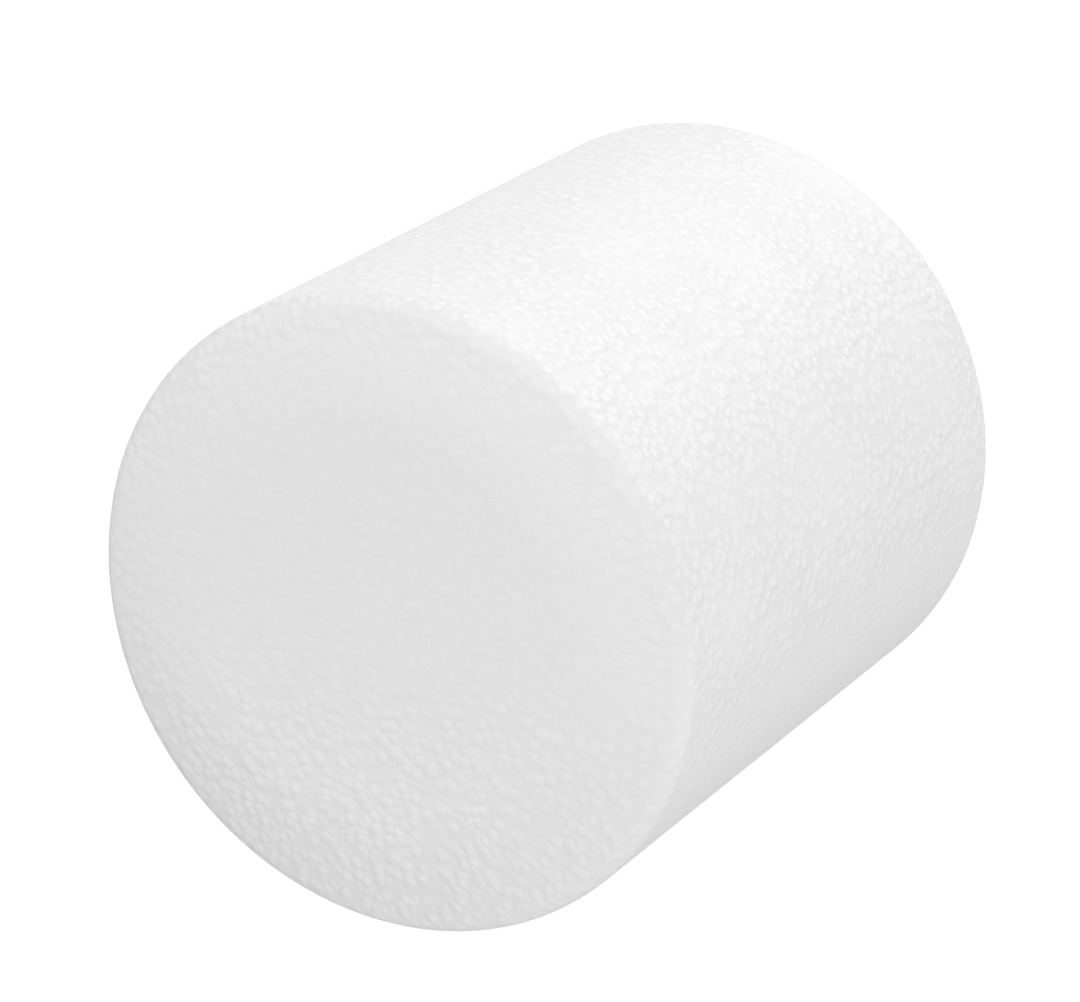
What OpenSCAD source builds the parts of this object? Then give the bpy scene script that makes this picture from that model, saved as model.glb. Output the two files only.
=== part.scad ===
// Short solid foam roller, lying on its side.
// One log of closed-cell foam: a soft cellular core under a thin closed skin that wraps
// the side and both ends. It has no bore, no tube, no end caps and no moving parts.
// Frame: millimetres, +Z up, origin at the bottom centre of the roller as it lies.
// The roller's axis runs along Y, with the front end at -Y.

/* [Roller] */
// Outside diameter of the roller
roller_d = 152.4; // [100:0.1:200]
// Length over both ends
roller_l = 175; // [120:1:900]

/* [Ends] */
// Width of the band, inside the rim, over which each end falls away from its flat middle
end_curve_w = 26; // [5:0.5:34]
// Radius of the shallow curve in that band
end_curve_r = 110; // [60:1:300]
// Radius of the rounded rim between the end and the side
rim_r = 4.5; // [3:0.5:15]

/* [Foam] */
// Thickness of the closed skin
skin_t = 1; // [0.5:0.1:2.5]

/* [Smoothness] */
// Steps along the shallow curve of each end
end_curve_steps = 8; // [3:1:16]
// Steps along the rounded rim
rim_steps = 12; // [6:1:24]

/* [Colours] */
// Skin colour
skin_colour = "#f4f4f2";
// Core colour
core_colour = "#e8e8e5";

/* [Hidden] */
$fn = 180;
roller_r = roller_d / 2;

// The half section is drawn as [radius, distance from the front end plane].
rim_x = roller_r - rim_r;
// Radius of the flat middle of each end
end_flat_r = rim_x - end_curve_w;
// Centre of the shallow end curve, which leaves the flat middle without a step
curve_c = [end_flat_r, end_curve_r];
// Centre of the rim curve, placed so that it meets the side and the end curve smoothly
rim_c = [rim_x, end_curve_r - sqrt(pow(end_curve_r - rim_r, 2) - pow(end_curve_w, 2))];
// Direction, from both centres, of the line where the end curve becomes the rim
join_a = atan2(rim_c[1] - curve_c[1], rim_c[0] - curve_c[0]);
// Directions that point straight out through the end and straight out through the side
end_a = -90;
side_a = 0;

// Points along a curve, from direction a0 to direction a1
function curve(centre, r, a0, a1, steps) = [
    for (i = [0:steps])
        let (a = a0 + (a1 - a0) * i / steps)
        centre + r * [cos(a), sin(a)]
];

// The same points in the opposite order
function reversed(points) = [for (i = [len(points) - 1:-1:0]) points[i]];

// The same points at the rear end, in the opposite order, so that they carry the outline on
function at_rear(points) = [for (p = reversed(points)) [p[0], roller_l - p[1]]];

// Line of the end, from the axis to the start of the rim, a depth below the surface
function end_line(depth) = concat(
    [[0, depth]],
    curve(curve_c, end_curve_r - depth, end_a, join_a, end_curve_steps)
);

// Line of the rim, from the end curve to the side, a depth below the surface
function rim_line(depth) = curve(rim_c, rim_r - depth, join_a, side_a, rim_steps);

// Line over both rims and the side between them, from front to rear
function side_line(depth) = concat(rim_line(depth), at_rear(rim_line(depth)));

// The end line and the rim line share their meeting point, so the rim's own copy is dropped
function without_ends(points) = [for (i = [1:len(points) - 2]) points[i]];

// Turns a half section about the roller's axis and lays it down along Y
module lay_down() {
    translate([0, -roller_l / 2, roller_r]) {
        rotate([-90, 0, 0]) {
            rotate_extrude() {
                children();
            }
        }
    }
}

// The closed layer over one end, at the front
module end_skin() {
    color(skin_colour) {
        lay_down() {
            polygon(concat(end_line(0), reversed(end_line(skin_t))));
        }
    }
}

// The cellular body of the log, under the skin all over
module foam_core() {
    front = end_line(skin_t);
    color(core_colour) {
        lay_down() {
            polygon(concat(front, without_ends(side_line(skin_t)), at_rear(front)));
        }
    }
}

// The closed layer round the side, which turns in over both rims
module side_skin() {
    color(skin_colour) {
        lay_down() {
            polygon(concat(side_line(0), reversed(side_line(skin_t))));
        }
    }
}

module front_end_skin() {
    end_skin();
}

module rear_end_skin() {
    mirror([0, 1, 0]) {
        end_skin();
    }
}

foam_core();
side_skin();
front_end_skin();
rear_end_skin();
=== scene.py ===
"""Short solid foam roller, white closed-cell foam, lying on its side.

Three skins (side, front end, rear end) are cut from one continuous pebbled surface along the
CAD skins' own boundaries, so that no seam shows, and each is a closed shell 1 mm thick. The
core stays as the CAD made it. Metres, +Z up, the roller's axis along Y, front end at -Y,
floor at Z = 0.
"""

import math

import bmesh
import bpy
import numpy as np
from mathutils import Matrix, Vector, noise


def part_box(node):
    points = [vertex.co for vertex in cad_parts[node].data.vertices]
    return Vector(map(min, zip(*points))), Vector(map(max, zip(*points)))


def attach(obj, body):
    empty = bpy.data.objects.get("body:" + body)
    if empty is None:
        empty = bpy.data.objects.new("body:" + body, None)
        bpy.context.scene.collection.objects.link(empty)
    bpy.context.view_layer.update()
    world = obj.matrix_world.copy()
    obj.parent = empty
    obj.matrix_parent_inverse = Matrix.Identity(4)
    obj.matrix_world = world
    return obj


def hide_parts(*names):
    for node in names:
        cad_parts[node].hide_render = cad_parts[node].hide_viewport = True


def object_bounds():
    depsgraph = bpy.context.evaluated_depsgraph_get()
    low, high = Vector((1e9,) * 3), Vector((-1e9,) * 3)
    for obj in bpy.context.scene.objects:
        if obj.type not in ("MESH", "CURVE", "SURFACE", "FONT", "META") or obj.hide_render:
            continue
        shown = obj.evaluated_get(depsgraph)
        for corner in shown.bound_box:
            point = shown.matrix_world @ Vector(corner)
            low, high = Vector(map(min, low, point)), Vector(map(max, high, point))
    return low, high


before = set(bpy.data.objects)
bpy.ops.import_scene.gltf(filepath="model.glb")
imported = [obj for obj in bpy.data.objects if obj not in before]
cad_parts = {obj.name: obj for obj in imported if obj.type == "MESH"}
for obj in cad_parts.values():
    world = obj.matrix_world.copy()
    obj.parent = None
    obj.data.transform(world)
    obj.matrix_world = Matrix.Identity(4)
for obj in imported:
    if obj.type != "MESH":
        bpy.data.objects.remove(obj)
cad_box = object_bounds()

MM = 0.001

# ---------------------------------------------------------------- sizes, from the CAD frame
side_lo, side_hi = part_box("side_skin")
end_lo, end_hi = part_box("front_end_skin")
cad_lo, cad_hi = cad_box
RADIUS = (side_hi.x - side_lo.x) / 2
AXIS_Z = RADIUS
FRONT_Y, REAR_Y = cad_lo[1], cad_hi[1]
# Radius at which an end skin meets the side skin
JOIN_R = (end_hi.x - end_lo.x) / 2
SKIN = 1.0 * MM
# The section's curves, as the CAD draws them
RIM_R = 4.5 * MM
CURVE_R = 110 * MM
CURVE_W = 26 * MM

# ---------------------------------------------------------------- the mesh
# Rings of points on an end, points round the side, and rows on each rim and along the side
RINGS = 78
AROUND = 6 * RINGS
RIM_ROWS = 6
SIDE_ROWS = 168
# Each skin's inner surface lies just off the core, and nothing shows it
INSIDE = SKIN - 0.02 * MM
INNER_AROUND = 96
INNER_RINGS = 12
# Size of the pebbles and of the slow swell under them, and the share of each in the relief
PEBBLE = 3.2 * MM
SWELL = 15 * MM
PEBBLE_SHARE = 0.6
SWELL_SHARE = 0.7
# The larger, the narrower the creases between the pebbles
CREASE = 1.5
# Half the depth of the whole relief
RELIEF = 0.05 * MM

# ---------------------------------------------------------------- the materials
# Patches, pebbles and fine marks per metre
PATCHES = 45
PEBBLES = 345
FINE = 1100
# Height of the grain, the share of the fine marks in it, and how far the painted shade darkens its
# creases and lightens its crowns
GRAIN = 0.38 * MM
FINE_SHARE = 0.4
PAINTED_CREASE_SHADE = 0.058
# Strength of the grain at the bottom and the top of an end, and the heights of both
END_BOTTOM, END_TOP = 0.9, 0.2
END_BOTTOM_Z, END_TOP_Z = 30 * MM, 110 * MM
# How far the patches shift those heights up or down
PATCH_SHIFT = 50 * MM
# Strength of the grain between and in the patches of the side
BETWEEN_PATCHES, IN_PATCHES = 0.75, 1.2
# What is left of it under the side, and the heights at which it fades and is full
UNDERSIDE = 0.45
FADED_Z, FULL_Z = 75 * MM, 125 * MM
# Faint satin of the skin, and how far its roughness drifts
SPECULAR = 0.25
ROUGHNESS_DRIFT = 0.06

# ---------------------------------------------------------------- the camera and the studio
# Azimuth and elevation of the camera, the point it looks at, its distance and its lens in mm
CAMERA_BEARING = (28.39, 20.03)
CAMERA_TARGET = (-0.0048, -0.0018, 0.0780)
CAMERA_AWAY = 1.0654
CAMERA_LENS = 147.7
STAGE_R = 9.0
# Strength of the even light from all round, and width and distance of each softbox
AMBIENT = 0.548
SOFTBOX = 0.7
SOFTBOX_AWAY = 2.5
# Azimuth, elevation and power in watts
SOFTBOXES = {
    "front_softbox": (40, 1, 22),
    "left_softbox": (-65, 64, 21),
    "rear_softbox": (173, 40, 18),
    "right_softbox": (129, 8, 9.8),
}


# ---------------------------------------------------------------- camera, at the photo's angle
def direction(azimuth, elevation):
    """Unit vector towards a bearing; azimuth 0 is in front of the roller, 90 is towards +X."""
    a, e = math.radians(azimuth), math.radians(elevation)
    return Vector((math.sin(a) * math.cos(e), -math.cos(a) * math.cos(e), math.sin(e)))


def add_camera():
    back = direction(*CAMERA_BEARING)
    data = bpy.data.cameras.new("camera")
    data.lens = CAMERA_LENS
    data.sensor_width = 36
    data.clip_start = 0.01
    data.clip_end = 60
    camera = bpy.data.objects.new("camera", data)
    bpy.context.scene.collection.objects.link(camera)
    camera.location = Vector(CAMERA_TARGET) + back * CAMERA_AWAY
    camera.rotation_euler = back.to_track_quat("Z", "Y").to_euler()
    bpy.context.scene.camera = camera


# ---------------------------------------------------------------- the roller's section
RIM_X = RADIUS - RIM_R
FLAT_R = RIM_X - CURVE_W
RIM_D = CURVE_R - math.sqrt((CURVE_R - RIM_R) ** 2 - CURVE_W**2)
JOIN_TILT = math.atan2(CURVE_W, CURVE_R - RIM_D)


def end_point(r):
    """Radius, depth and tilt on an end at radius r; tilt is the normal's angle off the axis."""
    if r <= FLAT_R:
        return r, 0.0, 0.0
    tilt = math.asin((r - FLAT_R) / CURVE_R)
    return r, CURVE_R * (1 - math.cos(tilt)), tilt


def rim_point(t):
    """The same on the rim, with t from 0 at the end curve to 1 at the side."""
    tilt = JOIN_TILT + (math.pi / 2 - JOIN_TILT) * t
    return RIM_X + RIM_R * math.sin(tilt), RIM_D - RIM_R * math.cos(tilt), tilt


# ---------------------------------------------------------------- the skins, made of rings
FRONT, SIDE, REAR = range(3)


class Skins:
    """Points with outward normals, and faces that each belong to one of the three skins."""

    def __init__(self):
        self.points, self.normals, self.hidden = [], [], []
        self.faces, self.owner = [], []

    def ring(self, section, front, count, depth=0.0):
        """A ring of the section on one half of the roller, a depth below the surface."""
        r, back, tilt = section
        sign, end = (-1, FRONT_Y) if front else (1, REAR_Y)
        n_r, n_y = math.sin(tilt), sign * math.cos(tilt)
        start = len(self.points)
        for i in range(count):
            a = 2 * math.pi * i / count
            place = Vector((r * math.cos(a), end - sign * back, AXIS_Z + r * math.sin(a)))
            normal = Vector((n_r * math.cos(a), n_y, n_r * math.sin(a)))
            self.points.append(place - normal * depth)
            self.normals.append(normal)
            self.hidden.append(depth > 0)
        return start, count

    def join(self, ring_a, ring_b, owner):
        """Faces between two rings: quads if they have as many points, otherwise triangles."""
        (a, n_a), (b, n_b) = ring_a, ring_b
        if n_a == n_b:
            turns = [(i, (i + 1) % n_a) for i in range(n_a)]
            new = [(a + i, b + i, b + k, a + k) for i, k in turns]
        else:
            new = []
            # A lone point at the centre has no edge of its own
            i, j = int(n_a == 1), 0
            while i < n_a or j < n_b:
                p, q = a + i % n_a, b + j % n_b
                if j < n_b and (i >= n_a or (j + 0.5) * n_a <= (i + 0.5) * n_b):
                    j += 1
                    new.append((p, q, b + j % n_b))
                else:
                    i += 1
                    new.append((p, q, a + i % n_a))
        self.faces += new
        self.owner += [owner] * len(new)

    def strip(self, rings, owner):
        for ring_a, ring_b in zip(rings, rings[1:]):
            self.join(ring_a, ring_b, owner)

    def end(self, front, owner):
        """One end skin. Returns its outer and inner edge rings."""
        outer = [self.ring(end_point(0), front, 1)]
        for k in range(1, RINGS + 1):
            outer.append(self.ring(end_point(JOIN_R * k / RINGS), front, 6 * k))
        inner = [self.ring(end_point(0), front, 1, INSIDE)]
        for k in range(1, INNER_RINGS):
            r = JOIN_R * k / INNER_RINGS
            inner.append(self.ring(end_point(r), front, INNER_AROUND, INSIDE))
        inner.append(self.ring(end_point(JOIN_R), front, AROUND, INSIDE))
        self.strip(outer, owner)
        self.strip(inner, owner)
        self.join(outer[-1], inner[-1], owner)
        return outer[-1], inner[-1]

    def rim(self, front, depth=0.0):
        """Rings from just past an end skin's edge round the rim to the side."""
        turns = [rim_point(i / RIM_ROWS) for i in range(1, RIM_ROWS + 1)]
        return [self.ring(section, front, AROUND, depth) for section in turns]

    def side(self, front_edges, rear_edges):
        """The side skin, which shares its edge rings with the end skins."""
        straight = REAR_Y - FRONT_Y - 2 * RIM_D
        along = [RIM_D + straight * i / SIDE_ROWS for i in range(1, SIDE_ROWS)]
        middle = [self.ring((RADIUS, back, math.pi / 2), True, AROUND) for back in along]
        for depth, rows, a, b in zip((0.0, INSIDE), (middle, []), front_edges, rear_edges):
            self.strip([a, *self.rim(True, depth), *rows, *self.rim(False, depth)[::-1], b], SIDE)
        self.join(*front_edges, SIDE)
        self.join(*rear_edges, SIDE)


# ---------------------------------------------------------------- pebble grain
def pebble(place):
    """Height of the foam's grain, -1 to 1: soft cells with creases between them, on a swell."""
    near = noise.voronoi(place / PEBBLE)[0]
    cell = min((near[1] - near[0]) * CREASE, 1.0)
    eased = cell * cell * (3 - 2 * cell)
    height = PEBBLE_SHARE * (eased - 0.5) + SWELL_SHARE * noise.noise(place / SWELL)
    return max(-1.0, min(1.0, height))


def pebbled(skins):
    """The points, with the outer ones moved in by up to twice the relief."""
    places = []
    for place, normal, hidden in zip(skins.points, skins.normals, skins.hidden):
        places.append(place if hidden else place + normal * RELIEF * (pebble(place) - 1))
    return np.array(places)


def shading_normals(skins, places):
    """Normals averaged over the whole outer surface, so that they agree across the edges."""
    section = np.array(skins.normals)
    hidden = np.array(skins.hidden)
    total = np.where(hidden[:, None], -section, 0.0)
    for size in (3, 4):
        faces = np.array([corners for corners in skins.faces if len(corners) == size])
        faces = faces[~hidden[faces].any(1)]
        across = places[faces[:, 2]] - places[faces[:, 0]]
        out = np.cross(across, places[faces[:, size - 1]] - places[faces[:, 1]])
        out *= np.sign((out * section[faces[:, 0]]).sum(1))[:, None]
        for k in range(size):
            np.add.at(total, faces[:, k], out)
    return total / np.linalg.norm(total, axis=1)[:, None]


def add_skin(name, owner, skins, places, normals):
    own = [corners for corners, who in zip(skins.faces, skins.owner) if who == owner]
    used = sorted({i for corners in own for i in corners})
    new = {old: i for i, old in enumerate(used)}
    mesh = bpy.data.meshes.new(name)
    mesh.from_pydata(places[used].tolist(), [], [[new[i] for i in corners] for corners in own])
    form = bmesh.new()
    form.from_mesh(mesh)
    bmesh.ops.recalc_face_normals(form, faces=form.faces)
    form.to_mesh(mesh)
    form.free()
    mesh.polygons.foreach_set("use_smooth", [True] * len(mesh.polygons))
    shading = normals[used][[loop.vertex_index for loop in mesh.loops]]
    for polygon, corners in zip(mesh.polygons, own):
        # The narrow wall between the outer and the inner surface is shaded flat
        if len({skins.hidden[i] for i in corners}) == 2:
            shading[list(polygon.loop_indices)] = polygon.normal
    mesh.normals_split_custom_set(shading.tolist())
    piece = bpy.data.objects.new(name, mesh)
    bpy.context.scene.collection.objects.link(piece)
    return piece


def add_skins():
    """The three skins, in the order front end, side, rear end."""
    skins = Skins()
    skins.side(skins.end(True, FRONT), skins.end(False, REAR))
    places = pebbled(skins)
    normals = shading_normals(skins, places)
    names = {FRONT: "front_end_foam", SIDE: "side_foam", REAR: "rear_end_foam"}
    return [add_skin(names[who], who, skins, places, normals) for who in (FRONT, SIDE, REAR)]


# ---------------------------------------------------------------- foam material
class Nodes:
    """Adds and links the nodes of one material."""

    def __init__(self, material):
        material.use_nodes = True
        self.tree = material.node_tree
        self.tree.nodes.clear()

    def add(self, kind, settings=None, **inputs):
        """A node, with its settings and with its inputs set or linked by name."""
        node = self.tree.nodes.new(kind)
        for key, value in (settings or {}).items():
            setattr(node, key, value)
        for key, value in inputs.items():
            socket = node.inputs[key.replace("_", " ")]
            if isinstance(value, bpy.types.NodeSocket):
                self.tree.links.new(value, socket)
            else:
                socket.default_value = value
        return node

    def math(self, operation, *values):
        node = self.add("ShaderNodeMath", {"operation": operation})
        for socket, value in zip(node.inputs, values):
            if isinstance(value, bpy.types.NodeSocket):
                self.tree.links.new(value, socket)
            else:
                socket.default_value = value
        return node.outputs[0]

    def mix(self, factor, a, b):
        node = self.add("ShaderNodeMix", None, Factor=factor)
        self.tree.links.new(a, node.inputs["A"])
        self.tree.links.new(b, node.inputs["B"])
        return node.outputs["Result"]

    def remap(self, value, from_min, from_max, to_min, to_max):
        """Value eased from one range to another, and held at its ends."""
        node = self.add("ShaderNodeMapRange", {"interpolation_type": "SMOOTHSTEP"}, Value=value)
        for socket, number in zip(node.inputs[1:5], (from_min, from_max, to_min, to_max)):
            socket.default_value = number
        return node.outputs["Result"]


def grain_strength(n, place, drift):
    """Strength of the grain and of its painted crease shade: full on top of the side, in patches; on
    the ends full at the bottom and faint above.
    """
    split = n.add("ShaderNodeSeparateXYZ", None, Vector=place)
    height = n.math("MULTIPLY_ADD", drift, PATCH_SHIFT, split.outputs["Z"])
    end = n.remap(height, END_TOP_Z, END_BOTTOM_Z, END_TOP, END_BOTTOM)
    patches = n.remap(drift, 0.35, 0.65, BETWEEN_PATCHES, IN_PATCHES)
    side = n.math("MULTIPLY", patches, n.remap(height, FADED_Z, FULL_Z, UNDERSIDE, 1.0))
    off_middle = n.math("ABSOLUTE", split.outputs["Y"])
    near_end = n.remap(off_middle, REAR_Y - RIM_D, REAR_Y, 0.0, 1.0)
    return n.mix(near_end, side, end)


def foam(name, tint, roughness):
    """White closed-cell foam: pebbles a few millimetres across, with painted shade in the creases
    between them and a faint satin skin.
    """
    material = bpy.data.materials.new(name)
    n = Nodes(material)
    place = n.add("ShaderNodeTexCoord").outputs["Object"]
    drift = n.add("ShaderNodeTexNoise", None, Vector=place, Scale=PATCHES, Detail=3.0).outputs["Fac"]
    strength = grain_strength(n, place, drift)

    # Each pebble is a low dome, crossed by finer, irregular texture
    cell = n.add("ShaderNodeTexVoronoi", None, Vector=place, Scale=PEBBLES).outputs["Distance"]
    fine = n.add("ShaderNodeTexNoise", None, Vector=place, Scale=FINE, Detail=2.0).outputs["Fac"]
    relief = n.math("MULTIPLY_ADD", fine, FINE_SHARE, n.remap(cell, 0.85, 0.0, 0.0, 1.0))
    relief = n.math("MULTIPLY", relief, strength)
    bump = n.add("ShaderNodeBump", None, Strength=1.0, Distance=GRAIN, Height=relief)

    # Painted shade: the crowns are a touch lighter and the creases a touch darker, as light and
    # shade would fall on the pebbles
    painted_pebble_shade = n.math("MULTIPLY", n.remap(cell, 0.7, 0.15, -0.5, 0.5), strength)
    shade = n.math("MULTIPLY_ADD", painted_pebble_shade, PAINTED_CREASE_SHADE, 1.0)
    colour = n.add("ShaderNodeVectorMath", {"operation": "SCALE"}, Scale=shade)
    colour.inputs[0].default_value = tint

    foam_shader = n.add(
        "ShaderNodeBsdfPrincipled",
        None,
        Base_Color=colour.outputs["Vector"],
        Roughness=n.remap(drift, 0.0, 1.0, roughness - ROUGHNESS_DRIFT, roughness + ROUGHNESS_DRIFT),
        Normal=bump.outputs["Normal"],
    )
    foam_shader.inputs["Specular IOR Level"].default_value = SPECULAR
    n.add("ShaderNodeOutputMaterial", None, Surface=foam_shader.outputs["BSDF"])
    return material


# ---------------------------------------------------------------- floor, backdrop and light
def white_stage(name, glow, albedo):
    """A white that stays white under any light, and takes at most a faint shadow."""
    material = bpy.data.materials.new(name)
    n = Nodes(material)
    lit = n.add("ShaderNodeBsdfDiffuse", None, Color=(albedo, albedo, albedo, 1))
    own = n.add("ShaderNodeEmission", None, Color=(glow, glow, glow, 1))
    both = n.add("ShaderNodeAddShader")
    n.tree.links.new(lit.outputs["BSDF"], both.inputs[0])
    n.tree.links.new(own.outputs["Emission"], both.inputs[1])
    n.add("ShaderNodeOutputMaterial", None, Surface=both.outputs["Shader"])
    return material


def add_stage(name, form, material):
    """A floor or backdrop that only the camera sees, so that the lights alone light the foam."""
    mesh = bpy.data.meshes.new(name)
    form.to_mesh(mesh)
    form.free()
    mesh.materials.append(material)
    stage = bpy.data.objects.new(name, mesh)
    bpy.context.scene.collection.objects.link(stage)
    stage.visible_diffuse = False
    stage.visible_glossy = False
    stage.visible_transmission = False
    stage.visible_shadow = False


def add_floor_and_backdrop():
    floor = bmesh.new()
    bmesh.ops.create_circle(floor, cap_ends=True, segments=96, radius=STAGE_R)
    add_stage("floor", floor, white_stage("floor", glow=0.94, albedo=0.12))
    dome = bmesh.new()
    bmesh.ops.create_uvsphere(dome, u_segments=96, v_segments=48, radius=STAGE_R)
    add_stage("backdrop", dome, white_stage("backdrop", glow=1.0, albedo=0.0))


def add_softbox(name, azimuth, elevation, power):
    """A square softbox that faces the middle of the roller."""
    data = bpy.data.lights.new(name, "AREA")
    data.shape = "SQUARE"
    data.size = SOFTBOX
    data.energy = power
    light = bpy.data.objects.new(name, data)
    bpy.context.scene.collection.objects.link(light)
    out = direction(azimuth, elevation)
    light.location = Vector((0, 0, AXIS_Z)) + out * SOFTBOX_AWAY
    light.rotation_euler = out.to_track_quat("Z", "Y").to_euler()
    light.visible_camera = False


def add_lights():
    world = bpy.data.worlds.new("studio")
    world.use_nodes = True
    bpy.context.scene.world = world
    world.node_tree.nodes["Background"].inputs["Color"].default_value = (1, 1, 1, 1)
    world.node_tree.nodes["Background"].inputs["Strength"].default_value = AMBIENT
    for name, (azimuth, elevation, power) in SOFTBOXES.items():
        add_softbox(name, azimuth, elevation, power)


# ---------------------------------------------------------------- the scene
add_camera()

skin_foam = foam("foam_skin", (0.86, 0.86, 0.86), 0.65)
for piece, node in zip(add_skins(), ("front_end_skin", "side_skin", "rear_end_skin")):
    piece.data.materials.append(skin_foam)
    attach(piece, "root")
    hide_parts(node)

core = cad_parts["foam_core"]
core.data.materials.clear()
core.data.materials.append(foam("foam_core", (0.82, 0.82, 0.81), 0.8))

add_floor_and_backdrop()
add_lights()
bpy.context.scene.view_settings.view_transform = "Standard"
